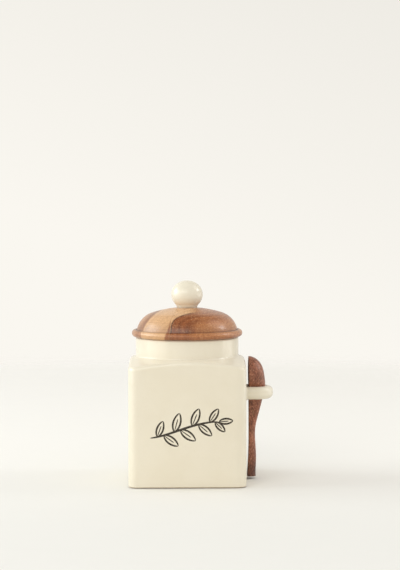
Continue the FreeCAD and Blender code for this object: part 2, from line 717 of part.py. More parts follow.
def make_screw():
    """The knob screw, head down in the plug's pocket. Its bearing face is at zero height."""
    body = new_body("knob_screw")
    head_foot = "-Sizes.head_height"
    head = size("head_radius")
    turn_in = "Sizes.head_round"
    shank = size("screw_radius")
    tip = f"({SEAT_RISE} - {POCKET_ROOF} + Sizes.washer_thickness + Sizes.screw_engagement)"
    profile = new_sketch(body, "screw_profile", "XZ_Plane")
    outline(
        profile,
        ("0", head_foot),
        (f"{head} - {turn_in}", head_foot, turn_in),
        (head, f"{head_foot} + {turn_in}"),
        (head, "0"),
        (shank, "0"),
        (shank, f"{tip} - Sizes.screw_tip_bevel"),
        (f"{shank} - Sizes.screw_tip_bevel", tip),
        ("0", tip),
    )
    turn(body, profile)
    cross = new_sketch(body, "cross_recess", "XY_Plane", head_foot)
    arm = "(Sizes.recess_length / 2)"
    half = "(Sizes.recess_width / 2)"
    outline(
        cross,
        (half, f"-{half}"), (arm, f"-{half}"), (arm, half), (half, half),
        (half, arm), (f"-{half}", arm), (f"-{half}", half), (f"-{arm}", half),
        (f"-{arm}", f"-{half}"), (f"-{half}", f"-{half}"), (f"-{half}", f"-{arm}"), (half, f"-{arm}"),
    )
    pocket(body, cross, size("recess_depth"), upward=True)
    lift(body, f"{RIM_HEIGHT} + {POCKET_ROOF} - Sizes.washer_thickness")
    return body


def make_washer():
    """The washer between the screw's head and the roof of the pocket."""
    body = new_body("knob_washer")
    ring = new_sketch(body, "washer_ring", "XY_Plane")
    circle(ring, size("washer_radius"))
    circle(ring, "Sizes.screw_radius + Sizes.washer_hole_clearance")
    pad(body, ring, size("washer_thickness"))
    lift(body, f"{RIM_HEIGHT} + {POCKET_ROOF} - Sizes.washer_thickness")
    return body


def check(pieces):
    """Stop if an object of the document failed or a piece has no sound solid."""
    for thing in doc.Objects:
        if {"Invalid", "Error"} & set(thing.State):
            raise RuntimeError(f"{thing.Name} failed: {thing.State}")
    for piece in pieces:
        shape = piece.Shape
        if shape.isNull() or not shape.isValid() or not shape.Solids:
            raise RuntimeError(f"{piece.Label} has no sound solid")


def main():
    pieces = [
        make_jar(),
        make_loop(),
        make_spoon(),
        *make_lid(),
        make_seal(),
        make_knob(),
        make_insert(),
        make_screw(),
        make_washer(),
    ]
    doc.recompute()
    check(pieces)
    os.makedirs(OUT, exist_ok=True)
    for piece in pieces:
        box = piece.Shape.BoundBox
        print(f"{piece.Label}: {piece.Shape.Volume:.1f} mm3, z {box.ZMin:.2f} to {box.ZMax:.2f}")
        piece.Shape.exportStep(os.path.join(OUT, f"{piece.Label}.step"))


main()
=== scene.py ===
"""The looks of the salt jar: glaze, wood, brushwork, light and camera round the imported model.

Everything is in metres in the model's own frame: the jar stands on the XY plane, its front looks
along -Y and the spoon hangs on the +X side. Names that end in _MM are in millimetres.
"""

import math

import bmesh
import bpy
from mathutils import Matrix, Vector


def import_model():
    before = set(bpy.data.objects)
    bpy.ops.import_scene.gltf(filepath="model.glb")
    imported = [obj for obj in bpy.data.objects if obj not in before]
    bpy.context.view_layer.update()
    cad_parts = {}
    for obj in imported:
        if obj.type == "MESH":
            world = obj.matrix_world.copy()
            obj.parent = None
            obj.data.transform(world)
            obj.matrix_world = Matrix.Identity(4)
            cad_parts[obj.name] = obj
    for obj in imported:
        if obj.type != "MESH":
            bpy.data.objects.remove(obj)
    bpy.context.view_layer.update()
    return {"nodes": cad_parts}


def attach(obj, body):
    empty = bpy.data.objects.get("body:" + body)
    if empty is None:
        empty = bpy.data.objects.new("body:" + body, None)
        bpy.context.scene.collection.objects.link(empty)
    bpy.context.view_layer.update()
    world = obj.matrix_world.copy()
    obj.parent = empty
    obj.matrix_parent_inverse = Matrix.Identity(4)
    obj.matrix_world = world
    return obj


MM = 0.001

# Camera: level, with the frame shifted down, as the upright edges stay parallel in the photograph
CAMERA_DISTANCE = 1.213
CAMERA_HEIGHT = 0.2106
CAMERA_YAW = math.radians(0.48)
CAMERA_ROLL = math.radians(0.15)
FOCAL_PX = 1580
FRAME_HEIGHT_PX = 570
HORIZON_PX = 204
SENSOR_MM = 36

# Floor: its edge fades out from a radius on, and its colour is painted light, darker at the front
# and lighter towards the back over a stretch along Y
FLOOR_RADIUS = 1.04
FLOOR_SIDES = 128
FLOOR_FADE_START = 0.62
FLOOR_NEAR = (0.806, 0.787, 0.735)
FLOOR_FAR = (0.900, 0.872, 0.812)
FLOOR_SWEEP = (-0.26, 0.24)
FLOOR_SPECKLE = (0.985, 0.985, 0.985)

# Backdrop: painted shade, pale low on the left and darker high on the right, with slopes for across
# and up
BACKDROP_NEAR = (0.956, 0.930, 0.871)
BACKDROP_FAR = (0.863, 0.839, 0.783)
BACKDROP_SLOPE = (1.8, 4.4)
BACKDROP_START = 0.21

# Ceiling, for reflections: the rise of a ray where it begins and where it is full
CEILING_COLOUR = (0.14, 0.135, 0.125)
CEILING_RISE = (0.55, 0.85)

# Light from all round: its strength low and overhead, and the rise of a ray at these two
WORLD_COLOUR = (1.0, 0.995, 0.985)
WORLD_STRENGTH = (0.645, 0.89)
WORLD_RISE = (0.2, 0.9)

# Lamps, all aimed at the middle of the jar
AIM = (0.0, 0.0, 0.075)
LAMPS = (
    # name, place, size, power, colour, lights surfaces or only shows in gloss
    ("key", (-1.75, 0.15, 0.80), (1.3, 1.1), 17.2, (0.86, 0.95, 1.0), True),
    ("fill", (1.45, 0.15, 0.85), (0.4, 0.4), 3.9, (0.97, 0.99, 1.0), True),
    ("front", (-0.6, -1.55, 0.95), (1.4, 0.9), 8.2, (1.0, 0.985, 0.96), True),
    ("low_card", (0.75, 0.15, 0.10), (0.5, 0.22), 0.6, (1.0, 0.99, 0.98), False),
    ("high_card", (0.9, 0.1, 0.95), (0.7, 0.7), 2.2, (1.0, 0.99, 0.98), False),
    ("window", (-1.5, -0.45, 0.40), (1.7, 1.0), 8.0, (0.97, 0.99, 1.0), False),
)

# Jar: half the body's width and how far its sides belly out
HALF_BODY_MM = 44.0
BELLY = 0.001

# Glaze: its slow changes, its mottling and its pinholes
GLAZE_DEEP = (0.805, 0.732, 0.575)
GLAZE_PALE = (0.825, 0.755, 0.603)
GLAZE_MOTTLE = (0.790, 0.707, 0.543)
PINHOLE = (0.42, 0.31, 0.18)

# Painted shade on the glaze below the lid's bead and round the knob's foot: height, reach, share
PAINTED_SHADE_BANDS = ((109.2, 2.2, 0.35), (131.15, 0.9, 0.5))
PAINTED_SHADE_CORE_MM = 0.3
PAINTED_SHADE_BROWN = (0.42, 0.25, 0.12)

# Bare foot: below a height, where the surface looks down
FOOT_HEIGHT_MM = 1.2
FOOT_FACING = -0.35
BARE_CLAY = ((0.55, 0.44, 0.31), (0.70, 0.60, 0.46))

# Brushed sprig on the front face: centre, stem and leaves in millimetres
FRONT_FACE_MM = -HALF_BODY_MM
SPRIG_CENTRE_MM = (1.9, 45.4)
STEM_MM = ((-30.0, -8.0), (-14.0, -6.5), (2.0, 4.0), (21.5, 4.0))
LEAVES = (
    # place along the stem, angle from it in degrees, length
    (0.12, 58, 12.5),
    (0.22, -52, 13.5),
    (0.38, 56, 14.5),
    (0.47, -54, 14.0),
    (0.64, 52, 14.0),
    (0.73, -54, 13.0),
    (0.88, 50, 12.0),
    (0.95, -48, 10.5),
    (1.00, 4, 10.5),
)
# Along a leaf: where its outline bends, how far it bulges, and where its vein ends
LEAF_BEND_SHARES = (0.25, 0.72)
LEAF_BULGE_SHARE = 0.235
LEAF_ROOT_BULGE_SHARE = 1.1
VEIN_END_SHARE = 0.68
# Strokes: width, and the share of it that is left at the ends
STEM_STROKE = (1.7, 0.75)
LEAF_STROKE = (1.4, 0.7)
VEIN_STROKE = (0.8, 0.5)
STROKE_STEPS = 28
STROKE_END_POWER = 7
# Section of a stroke, as shares of half its width and of the paint's height
STROKE_SECTION = ((-1.0, 0.0), (-0.72, 0.72), (0.0, 1.0), (0.72, 0.72), (1.0, 0.0))
PAINT_HEIGHT_MM = 0.06
SLIP_THICK = (0.024, 0.016, 0.008)
SLIP_THIN = (0.052, 0.037, 0.019)

# Lid: turn of the glue lines, where they lie across the grain, and the quirk beside the bead
STAVE_ANGLE = math.radians(12)
FAR_SEAM_MM = -29.0
NEAR_SEAM_MM = -5.2
QUIRK_RADIUS_MM = 38.65
QUIRK_HEIGHT_MM = 114.2
QUIRK_REACH_MM = (1.5, 0.2)
# Heights between which painted shade darkens the dome's foot, the bead begins, and painted shade
# darkens the bead where it turns under
DOME_FOOT_MM = (QUIRK_HEIGHT_MM + 9.5, QUIRK_HEIGHT_MM + 1.0)
BEAD_TOP_MM = (QUIRK_HEIGHT_MM + 0.3, QUIRK_HEIGHT_MM - 0.5)
BEAD_UNDER_MM = (111.8, 110.2)
# Radii between which painted shade darkens the lid towards the knob's foot
KNOB_SEAT_MM = (9.4, 8.0)
LID_FINISH = {"gloss": (0.36, 0.48), "coat": 0.35}

# Wood: shades that its colour is multiplied with, and the pale flecks
BAND_SHADE = (0.50, 0.36, 0.27)
STREAK_SHADE = (0.55, 0.40, 0.30)
FIBRE_SHADE = (0.62, 0.48, 0.38)
PORE_SHADE = (0.32, 0.19, 0.12)
LATHE_SHADE = (0.66, 0.52, 0.42)
# Painted shade for the quirk and round the knob's foot
NOOK_PAINTED_SHADE = (0.34, 0.22, 0.15)
# Painted shade on the dome's foot above the quirk
DOME_FOOT_PAINTED_SHADE = (0.50, 0.42, 0.36)
BEAD_SHADE = (0.70, 0.58, 0.48)
# Painted shade on the underside of the right board's bead
BEAD_UNDER_PAINTED_SHADE = (0.55, 0.42, 0.34)
GLUE_SHADE = (0.25, 0.13, 0.07)
PALE_FLECK = (0.82, 0.52, 0.27)

# Boards: the pith's place across and up, and the rings' colours by their distance from it
PALE_PITH_MM = (10.5, 96.5)
LEFT_TONES = (
    (44, (0.49, 0.237, 0.112)),
    (52, (0.565, 0.293, 0.148)),
    (60, (0.51, 0.247, 0.124)),
)
MIDDLE_TONES = (
    (20, (0.73, 0.430, 0.200)),
    (34, (0.76, 0.470, 0.242)),
    (43.2, (0.76, 0.465, 0.236)),
    (44.6, (0.34, 0.150, 0.070)),
    (45.4, (0.34, 0.150, 0.070)),
    (47.0, (0.52, 0.275, 0.140)),
    (60, (0.48, 0.250, 0.130)),
)
RIGHT_PITH_MM = (21.3, 117)
RIGHT_TONES = (
    (0, (0.66, 0.305, 0.111)),
    (4, (0.60, 0.262, 0.092)),
    (8, (0.43, 0.152, 0.046)),
    (11, (0.31, 0.097, 0.026)),
    (14, (0.30, 0.089, 0.022)),
    (17, (0.36, 0.108, 0.027)),
    (19, (0.27, 0.078, 0.018)),
    (21, (0.34, 0.104, 0.026)),
    (23.5, (0.37, 0.115, 0.030)),
    (24.8, (0.30, 0.095, 0.027)),
    (25.3, (0.13, 0.045, 0.016)),
    (25.7, (0.13, 0.045, 0.016)),
    (26.4, (0.76, 0.465, 0.236)),
    (36, (0.77, 0.475, 0.244)),
)
SPOON_PITH_MM = (20, 30)
SPOON_TONES = (
    (10, (0.235, 0.076, 0.037)),
    (30, (0.300, 0.105, 0.053)),
    (50, (0.245, 0.081, 0.040)),
)

# Dark ragged edge of the middle board: its lean, its raggedness and where it begins
EDGE_LEAN = 0.233
EDGE_RAGGED_MM = 2.0
EDGE_START_MM = (-33.9, -32.3)
EDGE_COLOUR = (0.36, 0.130, 0.044)

# Right board: darker pale wood past the last ring, a redder bead, and a warmer outer side
PAST_RINGS_MM = (24.5, 26.1)
PAST_RINGS_ACROSS_MM = (4.0, 14.0)
PAST_RINGS_COLOUR = (0.45, 0.170, 0.060)
RED_BEAD_COLOUR = (0.51, 0.198, 0.064)
WARM_ACROSS_MM = (8.0, 19.0)
WARM_COLOUR = (0.60, 0.255, 0.088)

# Spoon: its blotches and flecks, and its darker end between two heights
SPOON_BLOTCH = (0.42, 0.152, 0.079)
SPOON_FLECK = (0.53, 0.225, 0.130)
SPOON_FLECK_SHADE = (0.42, 0.36, 0.34)
SPOON_END_MM = (18.0, 7.0)
SPOON_END_SHADE = (0.34, 0.31, 0.28)

# Fittings
STEEL = (0.62, 0.62, 0.60)
BRASS = (0.72, 0.50, 0.22)
METAL_STAIN_SHARE = 0.6
SILICONE_DULL = (0.80, 0.79, 0.75)
SILICONE_CLEAN = (0.88, 0.87, 0.83)

# Sockets of the mix node for colours, which have the same names as those for numbers
MIX_FACTOR = 0
MIX_FIRST = 6
MIX_SECOND = 7
MIX_RESULT = 2


def rgba(colour):
    """A colour of three numbers with its alpha."""
    return (*colour, 1.0)


class Graph:
    """The node tree of a material or a world, built a node at a time."""

    def __init__(self, owner):
        owner.use_nodes = True
        self.owner = owner
        self.tree = owner.node_tree

    def put(self, socket, value):
        """Link an output to a socket, or set the socket's own value."""
        if isinstance(value, bpy.types.NodeSocket):
            self.tree.links.new(value, socket)
        elif socket.type == "RGBA":
            socket.default_value = rgba(value)
        else:
            socket.default_value = value

    def node(self, kind, inputs=None, **settings):
        """A new node with its settings and its inputs."""
        made = self.tree.nodes.new(kind)
        for key, value in settings.items():
            setattr(made, key, value)
        for key, value in (inputs or {}).items():
            self.put(made.inputs[key], value)
        return made

    def math(self, operation, *values, clamp=False):
        """One step of arithmetic."""
        made = self.node("ShaderNodeMath", operation=operation, use_clamp=clamp)
        for socket, value in zip(made.inputs, values):
            self.put(socket, value)
        return made.outputs[0]

    def gap(self, value, middle):
        """How far a value is from a middle."""
        return self.math("ABSOLUTE", self.math("SUBTRACT", value, middle))

    def swing(self, noise, reach):
        """Noise that swings about nought over a reach."""
        return self.math("MULTIPLY", self.math("SUBTRACT", noise, 0.5), reach)

    def radius(self, x, y):
        """The distance from the upright axis."""
        squares = [self.math("MULTIPLY", axis, axis) for axis in (x, y)]
        return self.math("SQRT", self.math("ADD", *squares))

    def fade(self, value, low, high, to_low=0.0, to_high=1.0):
        """A smooth step from low to high."""
        made = self.node(
            "ShaderNodeMapRange",
            {
                "Value": value,
                "From Min": low,
                "From Max": high,
                "To Min": to_low,
                "To Max": to_high,
            },
            interpolation_type="SMOOTHSTEP",
        )
        return made.outputs["Result"]

    def mix(self, share, first, second, blend="MIX"):
        """A blend of two colours."""
        made = self.node("ShaderNodeMix", data_type="RGBA", blend_type=blend)
        self.put(made.inputs[MIX_FACTOR], share)
        self.put(made.inputs[MIX_FIRST], first)
        self.put(made.inputs[MIX_SECOND], second)
        return made.outputs[MIX_RESULT]

    def ramp(self, value, *stops):
        """A colour ramp; a stop is (place, colour)."""
        made = self.node("ShaderNodeValToRGB", {"Fac": value})
        elements = made.color_ramp.elements
        while len(elements) < len(stops):
            elements.new(0.5)
        for element, (place, colour) in zip(elements, stops):
            element.position = place
            element.color = rgba(colour)
        return made.outputs["Color"]

    def noise(self, vector, scale, detail=2.0, rough=0.5):
        """Noise in space."""
        made = self.node(
            "ShaderNodeTexNoise",
            {"Vector": vector, "Scale": scale, "Detail": detail, "Roughness": rough},
        )
        return made.outputs["Fac"]

    def noise_along(self, value, scale, detail=2.0):
        """Noise that changes along one number only."""
        made = self.node(
            "ShaderNodeTexNoise",
            {"W": value, "Scale": scale, "Detail": detail},
            noise_dimensions="1D",
        )
        return made.outputs["Fac"]

    def place(self, turn=(0, 0, 0)):
        """The model's own coordinates in millimetres, turned."""
        coordinates = self.node("ShaderNodeTexCoord").outputs["Object"]
        made = self.node(
            "ShaderNodeMapping",
            {"Vector": coordinates, "Rotation": turn, "Scale": (1 / MM, 1 / MM, 1 / MM)},
        )
        return made.outputs["Vector"]

    def split(self, vector):
        """The three parts of a vector."""
        made = self.node("ShaderNodeSeparateXYZ", {"Vector": vector})
        return [made.outputs[axis] for axis in "XYZ"]

    def join(self, x, y, z):
        """A vector of three parts."""
        made = self.node("ShaderNodeCombineXYZ", {"X": x, "Y": y, "Z": z})
        return made.outputs["Vector"]

    def bump(self, height, distance, strength=1.0, under=None):
        """A relief, laid over the one under it."""
        inputs = {"Height": height, "Distance": distance, "Strength": strength}
        if under is not None:
            inputs["Normal"] = under
        return self.node("ShaderNodeBump", inputs).outputs["Normal"]

    def finish(self, **inputs):
        """Set the shader's sockets, named with _ for a space."""
        shader = self.tree.nodes["Principled BSDF"]
        for key, value in inputs.items():
            self.put(shader.inputs[key.replace("_", " ")], value)
        return self.owner


class Wood(Graph):
    """Oiled wood, laid up in layers. Across, along and up follow the grain, in millimetres."""

    def __init__(self, name, grain_axes):
        super().__init__(bpy.data.materials.new(name))
        self.across, self.along, self.up = grain_axes(self)
        self.fibre = self.grain(1.7, 0.05, detail=5.0, rough=0.6)
        self.height = self.math("MULTIPLY", self.fibre, 0.25)

    def grain(self, cross, length, **settings):
        """Noise with these counts per millimetre across and along the grain."""
        counts = ((self.across, cross), (self.along, length), (self.up, cross))
        scaled = [self.math("MULTIPLY", axis, count) for axis, count in counts]
        return self.noise(self.join(*scaled), 1.0, **settings)

    def tint(self, share, colour):
        """Lay a colour over the wood's own."""
        self.colour = self.mix(share, self.colour, colour)

    def darken(self, share, shade):
        """Multiply the wood's colour with a shade."""
        self.colour = self.mix(share, self.colour, shade, blend="MULTIPLY")

    def hollow(self, share, depth):
        """Sink the surface."""
        self.height = self.math("SUBTRACT", self.height, self.math("MULTIPLY", share, depth))

    def rings(
        self, pith, tones, flat=1.0, power=2.0, lean=0.0, drift=5.0, ripple=1.2, one_sided=False
    ):
        """Growth rings. pith is their centre across and up, flat presses them, power squares them.

        tones are stops of distance from the pith with their colours. One-sided rings are a corner
        of themselves: they run level past the pith and straight down below it.
        """
        wander = self.swing(self.grain(0.05, 0.02, detail=3.0), drift)
        ragged = self.swing(self.fibre, ripple)
        side = self.math("SUBTRACT", self.across, pith[0])
        level = self.math("MULTIPLY_ADD", self.across, -lean, self.up)
        rise = self.math("MULTIPLY", self.math("SUBTRACT", level, pith[1]), flat)
        if one_sided:
            side = self.math("MINIMUM", side, 0.0)
            rise = self.math("MAXIMUM", rise, 0.0)
        reaches = [self.math("ABSOLUTE", reach) for reach in (side, rise)]
        powers = [self.math("POWER", reach, power) for reach in reaches]
        span = self.math("POWER", self.math("ADD", *powers), 1 / power)
        self.span = self.math("ADD", self.math("ADD", span, wander), ragged)
        first = tones[0][0]
        width = tones[-1][0] - first
        share = self.math("DIVIDE", self.math("SUBTRACT", self.span, first), width, clamp=True)
        self.colour = self.ramp(share, *[((reach - first) / width, tone) for reach, tone in tones])

    def figure(self, bands, flecks):
        """Darker bands along the rings, then streaks and pores along the fibres."""
        broad = self.noise_along(self.span, 0.33, detail=1.0)
        fine = self.noise_along(self.span, 1.3, detail=3.0)
        self.darken(self.fade(broad, 0.40, 0.75, to_high=bands), BAND_SHADE)
        self.darken(self.fade(fine, 0.48, 0.80, to_high=0.7 * bands), STREAK_SHADE)
        self.darken(self.fade(self.fibre, 0.42, 0.75, to_high=0.38), FIBRE_SHADE)
        fleck = self.grain(1.2, 0.12, detail=3.0, rough=0.6)
        self.darken(self.fade(fleck, 0.52, 0.68, to_high=flecks), STREAK_SHADE)
        self.tint(self.fade(fleck, 0.46, 0.34, to_high=0.5 * flecks), PALE_FLECK)
        pore = self.fade(self.grain(3.0, 0.22, detail=1.0), 0.64, 0.74)
        self.darken(self.math("MULTIPLY", pore, 0.5), PORE_SHADE)
        self.hollow(pore, 0.8)

    def turned(self, quirk_share, bead_share=0.2):
        """Lathe marks, darker bead, painted shade at the dome's foot, in the quirk and by the knob.
        """
        radius = self.radius(self.across, self.along)
        mark = self.noise_along(self.math("MULTIPLY_ADD", self.up, -0.8, radius), 0.8, detail=4.0)
        self.hollow(mark, 1.1)
        self.darken(self.fade(mark, 0.45, 0.7, to_high=0.45), LATHE_SHADE)
        # Painted shade in the quirk beside the bead
        off = self.gap(radius, QUIRK_RADIUS_MM)
        drop = self.gap(self.up, QUIRK_HEIGHT_MM)
        quirk = self.fade(self.math("ADD", off, drop), *QUIRK_REACH_MM)
        self.darken(self.math("MULTIPLY", quirk, quirk_share), NOOK_PAINTED_SHADE)
        # Painted shade darkening the dome's foot
        dome = self.math("GREATER_THAN", self.up, QUIRK_HEIGHT_MM)
        foot = self.fade(self.up, *DOME_FOOT_MM, to_high=0.5)
        self.darken(self.math("MULTIPLY", dome, foot), DOME_FOOT_PAINTED_SHADE)
        self.darken(self.bead(bead_share), BEAD_SHADE)
        # Painted shade on the lid round the knob's foot
        self.darken(self.fade(radius, *KNOB_SEAT_MM, to_high=0.8), NOOK_PAINTED_SHADE)

    def bead(self, share):
        """A share on the bead, which is all that lies below the quirk."""
        return self.fade(self.up, *BEAD_TOP_MM, to_high=share)

    def glue_line(self, seam):
        """A thin, faint, sunken line along a seam."""
        line = self.fade(self.gap(self.across, seam), 0.22, 0.06)
        self.darken(self.math("MULTIPLY", line, 0.15), GLUE_SHADE)
        self.hollow(line, 0.6)

    def oiled(self, gloss, coat):
        """The finished material; gloss is the roughness of pale and of dark fibres."""
        return self.finish(
            Base_Color=self.colour,
            Roughness=self.fade(self.fibre, 0.3, 0.75, to_low=gloss[0], to_high=gloss[1]),
            Normal=self.bump(self.height, 0.05 * MM, strength=0.7),
            IOR=1.45,
            Coat_Weight=coat,
            Coat_Roughness=0.16,
        )


def glaze():
    """Gloss cream glaze with slow unevenness, pinholes, painted shade below lid and knob, bare
    foot.
    """
    g = Graph(bpy.data.materials.new("glaze"))
    place = g.place()
    cloud = g.noise(place, 0.035, detail=3.0)
    mottle = g.noise(place, 0.55, detail=4.0, rough=0.6)
    speck = g.noise(place, 1.7, detail=1.0)
    body = g.mix(g.fade(cloud, 0.35, 0.65), GLAZE_DEEP, GLAZE_PALE)
    body = g.mix(g.fade(mottle, 0.52, 0.75, to_high=0.3), body, GLAZE_MOTTLE)
    body = g.mix(g.fade(speck, 0.765, 0.80, to_high=0.28), body, PINHOLE)
    x, y, height = g.split(place)
    # Painted shade: the glaze turns brown under the lid's bead at the rim and round the knob's foot
    for level, reach, share in PAINTED_SHADE_BANDS:
        near = g.fade(g.gap(height, level), reach, PAINTED_SHADE_CORE_MM, to_high=share)
        body = g.mix(near, body, PAINTED_SHADE_BROWN)
    facing = g.split(g.node("ShaderNodeTexCoord").outputs["Normal"])[2]
    low = g.math("LESS_THAN", height, FOOT_HEIGHT_MM)
    foot = g.math("MULTIPLY", low, g.math("LESS_THAN", facing, FOOT_FACING))
    clay = g.mix(g.noise(place, 1.2, detail=6.0, rough=0.7), *BARE_CLAY)
    limit = HALF_BODY_MM**2
    squares = [g.math("MINIMUM", g.math("MULTIPLY", axis, axis), limit) for axis in (x, y)]
    belly = g.bump(g.math("MULTIPLY", g.math("ADD", *squares), -BELLY), 1 * MM)
    wave = g.bump(g.noise(place, 0.06, detail=1.0), 0.35 * MM, under=belly)
    peel = g.bump(g.noise(place, 0.9, detail=2.0), 0.012 * MM, under=wave)
    gloss = g.fade(g.noise(place, 0.3, detail=3.0), 0.3, 0.7, to_low=0.18, to_high=0.27)
    return g.finish(
        Base_Color=g.mix(foot, body, clay),
        Roughness=g.math("ADD", gloss, g.math("MULTIPLY", foot, 0.7)),
        Normal=peel,
        IOR=1.58,
    )


def stave_axes(g):
    """Across, along and up a stave: the staves lie turned about the lid's axis."""
    return g.split(g.place((0, 0, STAVE_ANGLE)))


def spoon_axes(g):
    """Across, along and up the spoon's grain, which runs along Z."""
    x, y, z = g.split(g.place())
    return x, z, y


def left_stave():
    """A plain brown board."""
    wood = Wood("wood_left", stave_axes)
    wood.rings(PALE_PITH_MM, LEFT_TONES)
    wood.figure(bands=0.4, flecks=0.3)
    wood.turned(quirk_share=0.6)
    wood.glue_line(FAR_SEAM_MM)
    return wood.oiled(**LID_FINISH)


def middle_stave():
    """A pale board with a dark ragged edge low on its near seam."""
    wood = Wood("wood_middle", stave_axes)
    wood.rings(PALE_PITH_MM, MIDDLE_TONES, drift=1.5)
    slant = wood.math("MULTIPLY_ADD", wood.up, -EDGE_LEAN, wood.across)
    ragged = wood.math("MULTIPLY_ADD", wood.fibre, EDGE_RAGGED_MM, slant)
    wood.tint(wood.fade(ragged, *EDGE_START_MM), EDGE_COLOUR)
    wood.figure(bands=0.16, flecks=0.32)
    wood.turned(quirk_share=0.4, bead_share=0.0)
    for seam in (FAR_SEAM_MM, NEAR_SEAM_MM):
        wood.glue_line(seam)
    return wood.oiled(**LID_FINISH)


def right_stave():
    """A dark figured board with a pale corner past its last ring."""
    wood = Wood("wood_right", stave_axes)
    wood.rings(
        RIGHT_PITH_MM,
        RIGHT_TONES,
        flat=2.27,
        power=3.5,
        lean=0.05,
        drift=2.0,
        ripple=2.0,
        one_sided=True,
    )
    past = wood.fade(wood.span, *PAST_RINGS_MM)
    outer = wood.fade(wood.across, *PAST_RINGS_ACROSS_MM)
    wood.tint(wood.math("MULTIPLY", past, outer), PAST_RINGS_COLOUR)
    wood.tint(wood.bead(0.55), RED_BEAD_COLOUR)
    wood.tint(wood.fade(wood.across, *WARM_ACROSS_MM, to_high=0.4), WARM_COLOUR)
    wood.figure(bands=0.35, flecks=0.6)
    wood.turned(quirk_share=1.0)
    # Painted shade on the bead's underside
    wood.darken(wood.fade(wood.up, *BEAD_UNDER_MM, to_high=0.5), BEAD_UNDER_PAINTED_SHADE)
    wood.glue_line(NEAR_SEAM_MM)
    return wood.oiled(**LID_FINISH)


def spoon_wood():
    """Mottled reddish wood, darker at the end of the handle."""
    wood = Wood("wood_spoon", spoon_axes)
    wood.rings(SPOON_PITH_MM, SPOON_TONES)
    wood.figure(bands=0.5, flecks=0.4)
    blotch = wood.grain(0.30, 0.12, detail=3.0, rough=0.6)
    wood.tint(wood.fade(blotch, 0.46, 0.66, to_high=0.65), SPOON_BLOTCH)
    fleck = wood.grain(1.3, 0.55, detail=2.0)
    wood.tint(wood.fade(fleck, 0.54, 0.64, to_high=0.7), SPOON_FLECK)
    wood.darken(wood.fade(fleck, 0.46, 0.35, to_high=0.7), SPOON_FLECK_SHADE)
    wood.darken(wood.fade(wood.along, *SPOON_END_MM, to_high=0.9), SPOON_END_SHADE)
    return wood.oiled(gloss=(0.42, 0.58), coat=0.1)


def metal(name, colour, rough):
    """Turned metal with fine rings and a little stain."""
    g = Graph(bpy.data.materials.new(name))
    place = g.place()
    x, y, z = g.split(place)
    rings = g.noise(g.join(g.radius(x, y), z, 0.0), 5.0, detail=3.0)
    stain = g.noise(place, 0.6, detail=3.0)
    stained = tuple(part * METAL_STAIN_SHARE for part in colour)
    return g.finish(
        Base_Color=g.mix(g.fade(stain, 0.4, 0.8, to_high=0.35), colour, stained),
        Metallic=1.0,
        Roughness=g.fade(rings, 0.2, 0.8, to_low=rough - 0.08, to_high=rough + 0.1),
        Normal=g.bump(rings, 0.02 * MM, strength=0.5),
    )


def slip():
    """Dark brown brushed slip under the glaze, thinner in places."""
    g = Graph(bpy.data.materials.new("slip"))
    place = g.place()
    load = g.noise(place, 0.5, detail=4.0, rough=0.6)
    return g.finish(
        Base_Color=g.ramp(load, (0.35, SLIP_THICK), (0.72, SLIP_THIN)),
        Roughness=g.fade(load, 0.3, 0.7, to_low=0.22, to_high=0.34),
        Normal=g.bump(g.noise(place, 1.6, detail=2.0), 0.01 * MM),
        IOR=1.52,
    )


def silicone():
    """Milky translucent silicone with a dusty surface."""
    g = Graph(bpy.data.materials.new("silicone"))
    place = g.place()
    dust = g.noise(place, 0.8, detail=4.0)
    return g.finish(
        Base_Color=g.mix(dust, SILICONE_DULL, SILICONE_CLEAN),
        Roughness=g.fade(dust, 0.3, 0.7, to_low=0.38, to_high=0.55),
        Subsurface_Weight=0.3,
        Subsurface_Radius=(2 * MM, 2 * MM, 2 * MM),
        Normal=g.bump(g.noise(place, 3.0, detail=2.0), 0.01 * MM),
    )


def dress(nodes):
    """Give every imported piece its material."""
    glazed = glaze()
    steel = metal("zinc_steel", STEEL, 0.32)
    materials = {
        "jar_body": glazed,
        "spoon_loop": glazed,
        "knob": glazed,
        "spoon": spoon_wood(),
        "lid_seal": silicone(),
        "knob_insert": metal("brass", BRASS, 0.28),
        "knob_screw": steel,
        "knob_washer": steel,
        "lid_stave_left": left_stave(),
        "lid_stave_middle": middle_stave(),
        "lid_stave_right": right_stave(),
    }
    for name, material in materials.items():
        mesh = nodes[name].data
        mesh.materials.clear()
        mesh.materials.append(material)


def bezier(points, share):
    """The point and the direction at a share of a cubic curve."""
    p0, p1, p2, p3 = (Vector(p) for p in points)
    rest = 1 - share
    place = rest**3 * p0 + 3 * rest**2 * share * p1 + 3 * rest * share**2 * p2 + share**3 * p3
    heading = rest**2 * (p1 - p0) + 2 * rest * share * (p2 - p1) + share**2 * (p3 - p2)
    return place, heading.normalized()


def sprig_strokes():
    """Every brush stroke of the sprig: its curve's points, its width, and how thin its ends get."""
    yield STEM_MM, *STEM_STROKE
    for place_share, angle, length in LEAVES:
        root, heading = bezier(STEM_MM, place_share)
        along = Matrix.Rotation(math.radians(angle), 2) @ heading
        across = Vector((-along.y, along.x))
        near, far = (root + share * length * along for share in LEAF_BEND_SHARES)
        tip = root + length * along
        for side in (1, -1):
            bulge = side * LEAF_BULGE_SHARE * length * across
            yield (root, near + LEAF_ROOT_BULGE_SHARE * bulge, far + bulge, tip), *LEAF_STROKE
        vein = root + VEIN_END_SHARE * length * along
        yield (root, near, vein, vein), *VEIN_STROKE


